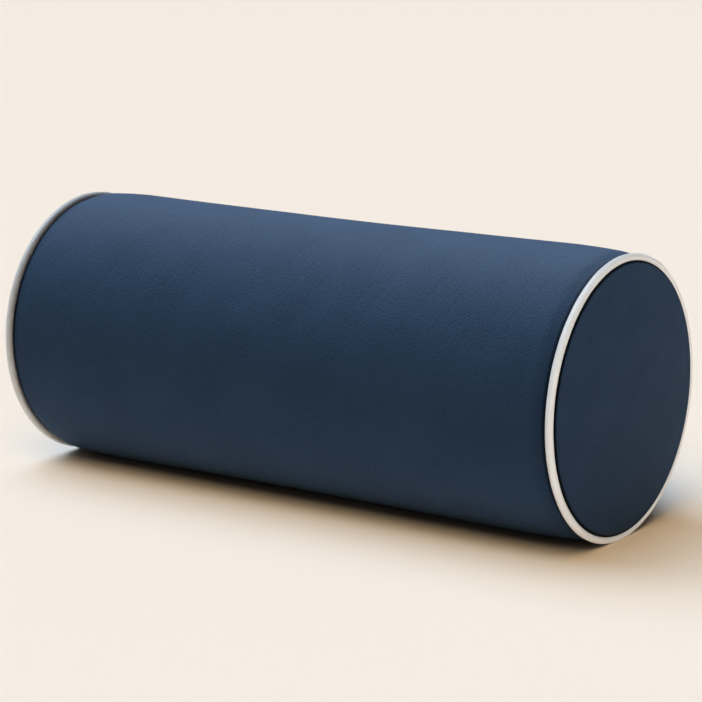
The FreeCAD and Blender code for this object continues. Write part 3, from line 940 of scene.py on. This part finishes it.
def end_profile():
    """An end panel's section from its middle to its tucked edge: its radii, how far each lies out
    from the seam's plane, and the radius at which it folds back."""
    s = sizes()
    edge = s.body_radius - s.crease_depth - 2.5 * MM
    radii = np.concatenate([np.linspace(0.0, 0.9, 46), 0.9 + 0.1 * np.linspace(0, 1, 16)[1:]])
    radii = radii * edge
    bend = 1.25 * MM
    face = FRAME["welt_tube"] + 0.35 * MM
    turn = np.linspace(0, math.pi * 0.94, 12)[1:]
    fold_radius = edge + bend * np.sin(turn)
    fold_out = face - bend * (1 - np.cos(turn))
    tuck = np.array([1.6, 3.4]) * MM
    radius = np.concatenate([radii, fold_radius, edge - tuck])
    out = np.concatenate([np.full(len(radii), face), fold_out, np.full(2, fold_out[-1])])
    return radius, out, edge


def build_end(name, side):
    """An end panel: a domed disc with a crease at its rim and its edge turned back, and painted
    shade in that crease.
    """
    s = sizes()
    radius, out, edge = end_profile()
    columns = 224
    full = 2 * math.pi * s.body_radius
    arc = np.linspace(0, full, columns, endpoint=False)[None, :]
    share = np.clip(radius / edge, 0, 1)[:, None]
    inside = (radius[:, None] <= edge) & (out[:, None] >= out[0] - 1e-9)
    dome = (1 - share**2) * 0.55 + np.sqrt(np.clip(1 - share**2, 0, 1)) * 0.45
    blown = swell().on_end(side, share, arc)
    crown = s.end_crown * (0.8 * dome + 0.2 * blown)
    turn = arc / s.body_radius
    gather = np.sin(31 * turn) + 0.6 * np.sin(53 * turn + 0.7)
    pucker = 0.035 * MM * gather * np.exp(-(((1 - share) / 0.05) ** 2)) * (share < 1)
    x = side * (FRAME["seam_half"] + out[:, None] + np.where(inside, crown + pucker, 0))
    points = settle(around(x, arc, np.maximum(radius[:, None], 1e-5)))
    unrolled = (radius + np.maximum(0, out[0] - out))[:, None]
    surface = np.stack([unrolled * np.cos(turn), unrolled * np.sin(turn)], axis=-1)
    # Painted shade: full on the turned-back edge, and rising over the last millimetre before the
    # rim.
    rim = smooth_step(radius, edge - 0.9 * MM, edge + 0.1 * MM)
    folded = np.where(out < out[0] - 1e-9, 1.0, rim)
    painted_seam_shade = np.broadcast_to(folded[:, None], (len(radius), columns))
    painted_seam_shade = np.append(painted_seam_shade[1:].ravel(), 0.0)
    rows = len(radius)
    middle = points[0].mean(axis=0)
    points = np.concatenate([points[1:].reshape(-1, 3), middle[None, :]])
    surface = np.concatenate([surface[1:].reshape(-1, 2), [[0.0, 0.0]]])
    faces = grid_faces(rows - 1, columns, wrap_columns=True)
    hub = (rows - 1) * columns
    faces += [[hub, (n + 1) % columns, n] for n in range(columns)]
    panel = mesh_piece(name, points, faces, surface, painted_seam_shade)
    if panel.data.polygons[0].normal.x * side < 0:
        panel.data.flip_normals()
    return thicken(panel, s.sheet)


class BOLSTER_OT_add_end_panels(bpy.types.Operator):
    """Add the round end panels"""

    bl_idname = "bolster.add_end_panels"
    bl_label = "End panels"

    def execute(self, context):
        c = colours()
        # Painted light: the end panels take the leatherette's colour made 8% lighter, for how they
        # are lit.
        colour = scaled(c.leatherette, 1.08)
        material = leatherette(
            "leatherette_end", colour, c.grain * 0.8, END_GRAIN_ANGLE, END_GRAIN_DEPTH
        )
        for name, side in SIDES.items():
            panel = build_end(f"end_{name}", side)
            node = f"end_panel_{name}"
            finish_piece(panel, material, "navy_leatherette", "cover", node, padded=0.95)
        return {"FINISHED"}


# Piping


def welt_section():
    """Section of the folded strip, a closed loop: across the seam, and out from the axis."""
    tube, ring = FRAME["welt_tube"], FRAME["welt_ring"]
    wall, slit = 1.1 * MM, 0.1 * MM
    start = math.asin(wall / tube)
    turn = np.linspace(start, 2 * math.pi - start, 34)
    squared = 2.1
    reach = (np.abs(np.sin(turn)) ** squared + np.abs(np.cos(turn)) ** squared) ** (-1 / squared)
    outer = np.stack([tube * reach * np.sin(turn), ring - tube * reach * np.cos(turn)], axis=-1)
    bore = tube - wall
    start = math.asin(slit / bore)
    turn = np.linspace(2 * math.pi - start, start, 20)
    inner = np.stack([bore * np.sin(turn), ring - bore * np.cos(turn)], axis=-1)
    root = ring - 2.2 * tube
    far_edge, near_edge = [[-wall, root], [-slit, root]], [[slit, root]]
    return np.concatenate([[[wall, root]], outer, far_edge, inner, near_edge])


def build_welt(name, side):
    """One end's piping: the strip folded round its cord, thicker where its two ends overlap."""
    s = sizes()
    section = welt_section()
    columns = 320
    arc = np.linspace(0, 2 * math.pi * s.body_radius, columns, endpoint=False)[:, None]
    join = 62 * MM
    lap_start = smooth_step(arc, join, join + 1.2 * MM)
    lap_end = smooth_step(arc, join + 15 * MM, join + 19 * MM)
    lap = lap_start * (1 - lap_end)
    turn = arc / s.body_radius
    wave = 1 + 0.012 * np.sin(9 * turn) + 0.010 * np.sin(23 * turn + 1.7)
    swelling = wave * (1 + 0.10 * lap)
    across = section[None, :, 0] * swelling
    out = FRAME["welt_ring"] + (section[None, :, 1] - FRAME["welt_ring"]) * swelling
    points = settle(around(side * FRAME["seam_half"] + across, arc, out))
    faces = grid_faces(columns, len(section), wrap_rows=True, wrap_columns=True)
    return face_outward(mesh_piece(name, points, faces))


class BOLSTER_OT_add_piping(bpy.types.Operator):
    """Add the piping round both ends, and finish the cords inside it"""

    bl_idname = "bolster.add_piping"
    bl_label = "Piping"

    def execute(self, context):
        material = piping_material(colours().piping)
        twine = woven("piping_cord", (0.62, 0.58, 0.50), 0.7 * MM, 0.1 * MM, light=1.1)
        for name, side in SIDES.items():
            piping = build_welt(f"piping_{name}", side)
            finish_piece(piping, material, "white_piping", "cover", f"welt_strip_{name}")
            link_lights(piping)
            repaint(f"welt_cord_{name}", twine)
        return {"FINISHED"}


def repaint(node, material):
    """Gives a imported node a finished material."""
    slots = frame["nodes"][node].data.materials
    slots.clear()
    slots.append(material)


class BOLSTER_OT_finish_filling(bpy.types.Operator):
    """Finish the foam core and the wadding round it"""

    bl_idname = "bolster.finish_filling"
    bl_label = "Filling"

    def execute(self, context):
        repaint("foam_core", fibrous("foam_cream", (0.80, 0.72, 0.50), 1.1 * MM, 0.4 * MM))
        fluff = fibrous("wadding_white", (0.82, 0.82, 0.80), 2.4 * MM, 0.8 * MM, roughness=0.95)
        for node in ("wadding_wrap", "wadding_end_left", "wadding_end_right"):
            repaint(node, fluff)
        return {"FINISHED"}


# Zip


COIL_PITCH = 1.6 * MM
COIL_WIRE = 0.36 * MM
COIL_THREAD = 0.17 * MM
SPLIT_SLOPE = 0.17


def parted(x):
    """How far each row stands off the zip's middle: nothing up to the slider, then a wedge."""
    split = SLIDER_LOW + 3 * MM
    return SPLIT_SLOPE * (np.clip(x, split, SLIDER_HIGH) - split)


def build_coil(name, sign, phase):
    """One row of the zip: a flattened nylon coil round its filler cord."""
    low, high = CHAIN_LOW, CHAIN_HIGH
    turns = int((high - low - 2 * MM) / COIL_PITCH)
    steps = 12
    at = np.arange(turns * steps + 1) / steps
    x = low + 1 * MM + (at + phase) * COIL_PITCH
    turn = 2 * math.pi * at
    half_width, half_height = 1.42 * MM, 0.72 * MM
    middle, height = 1.28 * MM, FRAME["body_radius"] - 0.95 * MM
    flat = np.sign(np.cos(turn)) * np.abs(np.cos(turn)) ** 0.75
    across = middle - half_width * flat + parted(x)
    out = height + half_height * np.sin(turn)
    return tubes(name, [flat_zip(x, sign * across, out)], COIL_WIRE, sides=6)


def coil_threads(sign):
    """The sewing that holds a row to its tape: a line of stitches over the coil."""
    s = sizes()
    length = COIL_PITCH * 2
    starts = np.arange(CHAIN_LOW + 2 * MM, CHAIN_HIGH - length, length)
    top = FRAME["body_radius"] + 0.16 * MM
    paths = []
    for start in starts:
        x = start + length * np.array([0.04, 0.2, 0.5, 0.8, 0.96])
        out = top + np.array([-0.45, 0.02, 0.10, 0.02, -0.45]) * MM
        paths.append(flat_zip(x, sign * (1.75 * MM + parted(x)), out))
    return paths


def rounded_copy(node, voxel, passes=6):
    """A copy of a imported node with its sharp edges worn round, as castings have."""
    source = frame["nodes"][node]
    copy = bpy.data.objects.new(f"{node}_cast", source.data.copy())
    bpy.context.scene.collection.objects.link(copy)
    mesh = bmesh.new()
    mesh.from_mesh(copy.data)
    bmesh.ops.remove_doubles(mesh, verts=mesh.verts, dist=0.002 * MM)
    mesh.to_mesh(copy.data)
    mesh.free()
    remesh = copy.modifiers.new("remesh", "REMESH")
    remesh.mode = "VOXEL"
    remesh.voxel_size = voxel
    smooth = copy.modifiers.new("smooth", "SMOOTH")
    smooth.factor = 0.5
    smooth.iterations = passes
    apply_modifiers(copy)
    copy.data.polygons.foreach_set("use_smooth", np.ones(len(copy.data.polygons), bool))
    return copy


class BOLSTER_OT_add_zip(bpy.types.Operator):
    """Add the zip's coils, slider and pull, and finish its tapes and stops"""

    bl_idname = "bolster.add_zip"
    bl_label = "Zip"

    def execute(self, context):
        colour = colours().zip_tape
        coil = nylon("zip_nylon", colour)
        thread = woven("coil_thread", scaled(colour, 1.4), 0.25 * MM, 0.04 * MM)
        tape = woven("zip_tape_weave", colour, 0.45 * MM, 0.09 * MM)
        paint = metal("zip_slider_paint", (0.035, 0.042, 0.06), 0.34, 0.55)
        bright = metal("zip_stop_metal", (0.55, 0.55, 0.56), 0.3, 1.0)
        for name, sign, phase in (("upper", 1, 0.0), ("lower", -1, 0.5)):
            row = build_coil(f"zip_coil_{name}", sign, phase)
            finish_piece(row, coil, "zip_coil", "cover", f"zip_chain_{name}")
            sewing = tubes(f"zip_coil_sewing_{name}", coil_threads(sign), COIL_THREAD, sides=5)
            finish_piece(sewing, thread, "thread", "cover")
            repaint(f"zip_tape_{name}", tape)
        for node, voxel in (("zip_slider", 0.17 * MM), ("zip_pull", 0.16 * MM)):
            cast = rounded_copy(node, voxel)
            finish_piece(cast, paint, "zip_metal", node, node)
        for node in ("zip_top_stops", "zip_bottom_stop"):
            stop = rounded_copy(node, 0.12 * MM, passes=5)
            finish_piece(stop, bright, "stop_metal", "cover", node)
        return {"FINISHED"}


# Stitching


def top_stitches(sign):
    """One row of stitches along the zip: each rises from its needle hole and dips into the next."""
    s = sizes()
    arc = sign * (s.slot_half_width + s.stitch_inset)
    count = int((2 * s.slot_half - 4 * MM) / s.stitch_pitch / 2) * 2
    first = -count / 2 * s.stitch_pitch
    paths = []
    for n in range(count):
        start = first + n * s.stitch_pitch
        x = start + s.stitch_pitch * np.array([0.03, 0.12, 0.3, 0.5, 0.7, 0.88, 0.97])
        face = s.body_radius + sewn_relief(x, np.full(len(x), arc)) + filled_out(x, arc)
        out = face.mean() + np.array([-0.5, -0.05, 0.20, 0.27, 0.20, -0.05, -0.5]) * MM
        slant = np.linspace(-0.12, 0.12, len(x)) * MM
        paths.append(around(x, arc + slant, out))
    return paths


def bar_tack(side):
    """A bar tack: close zigzag stitches across the end of the slot."""
    s = sizes()
    half, spacing = 8 * MM, 0.42 * MM
    middle = side * (s.slot_half + 1.5 * MM)
    paths = []
    for n, across in enumerate(np.arange(-half, half, spacing)):
        lean = spacing * (0.5 if n % 2 else -0.5)
        x = middle + np.array([-1.25, -1.0, 0, 1.0, 1.25]) * MM
        arc = across + np.linspace(-lean, lean, 5)
        out = s.body_radius + sewn_relief(middle, across) + filled_out(middle, across)
        paths.append(around(x, arc, out + np.array([-0.35, 0.12, 0.30, 0.12, -0.35]) * MM))
    return paths


class BOLSTER_OT_add_stitching(bpy.types.Operator):
    """Add the top stitching and bar tacks, and finish the threads inside the seams"""

    bl_idname = "bolster.add_stitching"
    bl_label = "Stitching"

    def execute(self, context):
        thread = woven("sewing_thread", (0.035, 0.06, 0.105), 0.3 * MM, 0.08 * MM, light=1.9)
        radius = sizes().thread
        for name, sign in (("upper", 1), ("lower", -1)):
            row = tubes(f"top_stitching_{name}", top_stitches(sign), radius, sides=7)
            finish_piece(row, thread, "thread", "cover", f"zip_stitching_{name}")
        tacks = tubes("bar_tacks", bar_tack(-1) + bar_tack(1), radius * 0.85, sides=6)
        finish_piece(tacks, thread, "thread", "cover", "zip_bar_tacks")
        for node in ("closing_seam_threads", "end_seam_thread_left", "end_seam_thread_right"):
            repaint(node, thread)
        return {"FINISHED"}


# Stage


# What a light reaches: an INCLUDE names the only pieces that it lights, and an EXCLUDE names those
# that it leaves out.
FLOOR = {"floor": "INCLUDE"}
FLOOR_AND_PIPING = dict.fromkeys(("floor", "piping_right", "piping_left"), "INCLUDE")
ALL_ELSE = dict.fromkeys(FLOOR_AND_PIPING, "EXCLUDE")
END_TRIM = {"piping_right": "INCLUDE"}

# Each light's name, where it comes from, strength, angular size in degrees, colour, and reach.
LIGHTS = (
    ("key_light", (-0.22, 0.27, 0.92), 5.75, 70, (0.98, 1.0, 1.02), ALL_ELSE),
    ("floor_main", (-0.46, -0.04, 0.88), 2.72, 60, (0.77, 0.94, 1.13), FLOOR_AND_PIPING),
    ("floor_warm", (0.20, -0.55, 0.80), 1.88, 40, (1.0, 0.71, 0.40), FLOOR),
    ("end_fill", (0.80, -0.55, 0.22), 1.6, 18, (1.0, 0.98, 0.95), END_TRIM),
)
AMBIENT_COLOUR = (1.0, 0.80, 0.60)
AMBIENT_STRENGTH = 0.10
FLOOR_HALF = 30.0


def add_floor(colour):
    mesh = bpy.data.meshes.new("floor")
    half = FLOOR_HALF
    corners = [(-half, -half, 0), (half, -half, 0), (half, half, 0), (-half, half, 0)]
    mesh.from_pydata(corners, [], [(0, 1, 2, 3)])
    floor = bpy.data.objects.new("floor", mesh)
    bpy.context.scene.collection.objects.link(floor)
    material, tree, shader = new_material("floor_cream")
    shader.inputs["Base Color"].default_value = (*colour, 1)
    shader.inputs["Roughness"].default_value = 0.9
    shader.inputs["Specular IOR Level"].default_value = 0.1
    mesh.materials.append(material)
    return floor


def add_sun(name, source, strength, spread, colour):
    """A broad, even light from the direction of source, with an empty list of what it reaches."""
    light = bpy.data.lights.new(name, "SUN")
    light.energy = strength
    light.angle = math.radians(spread)
    light.color = colour
    holder = bpy.data.objects.new(name, light)
    holder.rotation_euler = (-Vector(source)).to_track_quat("-Z", "Y").to_euler()
    bpy.context.scene.collection.objects.link(holder)
    holder.light_linking.receiver_collection = bpy.data.collections.new(name)


def link_lights(piece):
    """Adds the piece to what each light of the stage reaches or leaves out."""
    for name, *_, reach in LIGHTS:
        lit = bpy.data.collections.get(name)
        if lit is not None and piece.name in reach:
            lit.objects.link(piece)
            lit.collection_objects[-1].light_linking.link_state = reach[piece.name]


def add_camera(stage):
    """A camera that looks at the bolster from its front and right end."""
    middle = Vector((0, 0, FRAME["axis_height"]))
    a, e = stage.azimuth, stage.elevation
    away = Vector((math.sin(a) * math.cos(e), -math.cos(a) * math.cos(e), math.sin(e)))
    right = Vector((math.cos(a), math.sin(a), 0))
    up = away.cross(right)
    aim = middle + stage.distance * (math.tan(stage.pan) * right + math.tan(stage.tilt) * up)
    camera = bpy.data.objects.new("camera", bpy.data.cameras.new("camera"))
    camera.location = middle + stage.distance * away
    camera.rotation_euler = (aim - camera.location).to_track_quat("-Z", "Y").to_euler()
    camera.data.lens = stage.lens
    camera.data.sensor_width = 36.0
    camera.data.clip_end = 100.0
    bpy.context.scene.collection.objects.link(camera)
    bpy.context.scene.camera = camera


class BOLSTER_OT_set_stage(bpy.types.Operator):
    """Add the floor, the studio light and the camera"""

    bl_idname = "bolster.set_stage"
    bl_label = "Stage"

    def execute(self, context):
        scene = context.scene
        stage = scene.bolster_stage
        scene.view_settings.view_transform = "Standard"
        world = bpy.data.worlds.new("studio")
        world.use_nodes = True
        background = world.node_tree.nodes["Background"]
        background.inputs["Color"].default_value = (*AMBIENT_COLOUR, 1)
        background.inputs["Strength"].default_value = AMBIENT_STRENGTH
        scene.world = world
        floor = add_floor(stage.floor)
        for *light, _ in LIGHTS:
            add_sun(*light)
        link_lights(floor)
        add_camera(stage)
        return {"FINISHED"}


class BOLSTER_PT_panel(bpy.types.Panel):
    """The bolster's pieces and settings"""

    bl_idname = "BOLSTER_PT_panel"
    bl_label = "Bolster pillow"
    bl_space_type = "VIEW_3D"
    bl_region_type = "UI"
    bl_category = "Bolster"

    def draw(self, context):
        for operator in OPERATORS:
            self.layout.operator(operator.bl_idname)
        for group in ("bolster_sizes", "bolster_colours", "bolster_stage"):
            settings = getattr(context.scene, group)
            box = self.layout.box()
            for name in settings.bl_rna.properties.keys():
                if name not in ("rna_type", "name"):
                    box.prop(settings, name)


OPERATORS = (
    BOLSTER_OT_set_stage,
    BOLSTER_OT_add_cover,
    BOLSTER_OT_add_end_panels,
    BOLSTER_OT_add_piping,
    BOLSTER_OT_finish_filling,
    BOLSTER_OT_add_zip,
    BOLSTER_OT_add_stitching,
)
GROUPS = (BOLSTER_Sizes, BOLSTER_Colours, BOLSTER_Stage)


def register():
    for each in (*GROUPS, *OPERATORS, BOLSTER_PT_panel):
        bpy.utils.register_class(each)
    bpy.types.Scene.bolster_sizes = PointerProperty(type=BOLSTER_Sizes)
    bpy.types.Scene.bolster_colours = PointerProperty(type=BOLSTER_Colours)
    bpy.types.Scene.bolster_stage = PointerProperty(type=BOLSTER_Stage)


def unregister():
    for name in ("bolster_sizes", "bolster_colours", "bolster_stage"):
        delattr(bpy.types.Scene, name)
    for each in reversed((*GROUPS, *OPERATORS, BOLSTER_PT_panel)):
        bpy.utils.unregister_class(each)


def main():
    """Builds everything."""
    register()
    bpy.ops.bolster.set_stage()
    bpy.ops.bolster.add_cover()
    bpy.ops.bolster.add_end_panels()
    bpy.ops.bolster.add_piping()
    bpy.ops.bolster.finish_filling()
    bpy.ops.bolster.add_zip()
    bpy.ops.bolster.add_stitching()


if __name__ == "__main__":
    main()
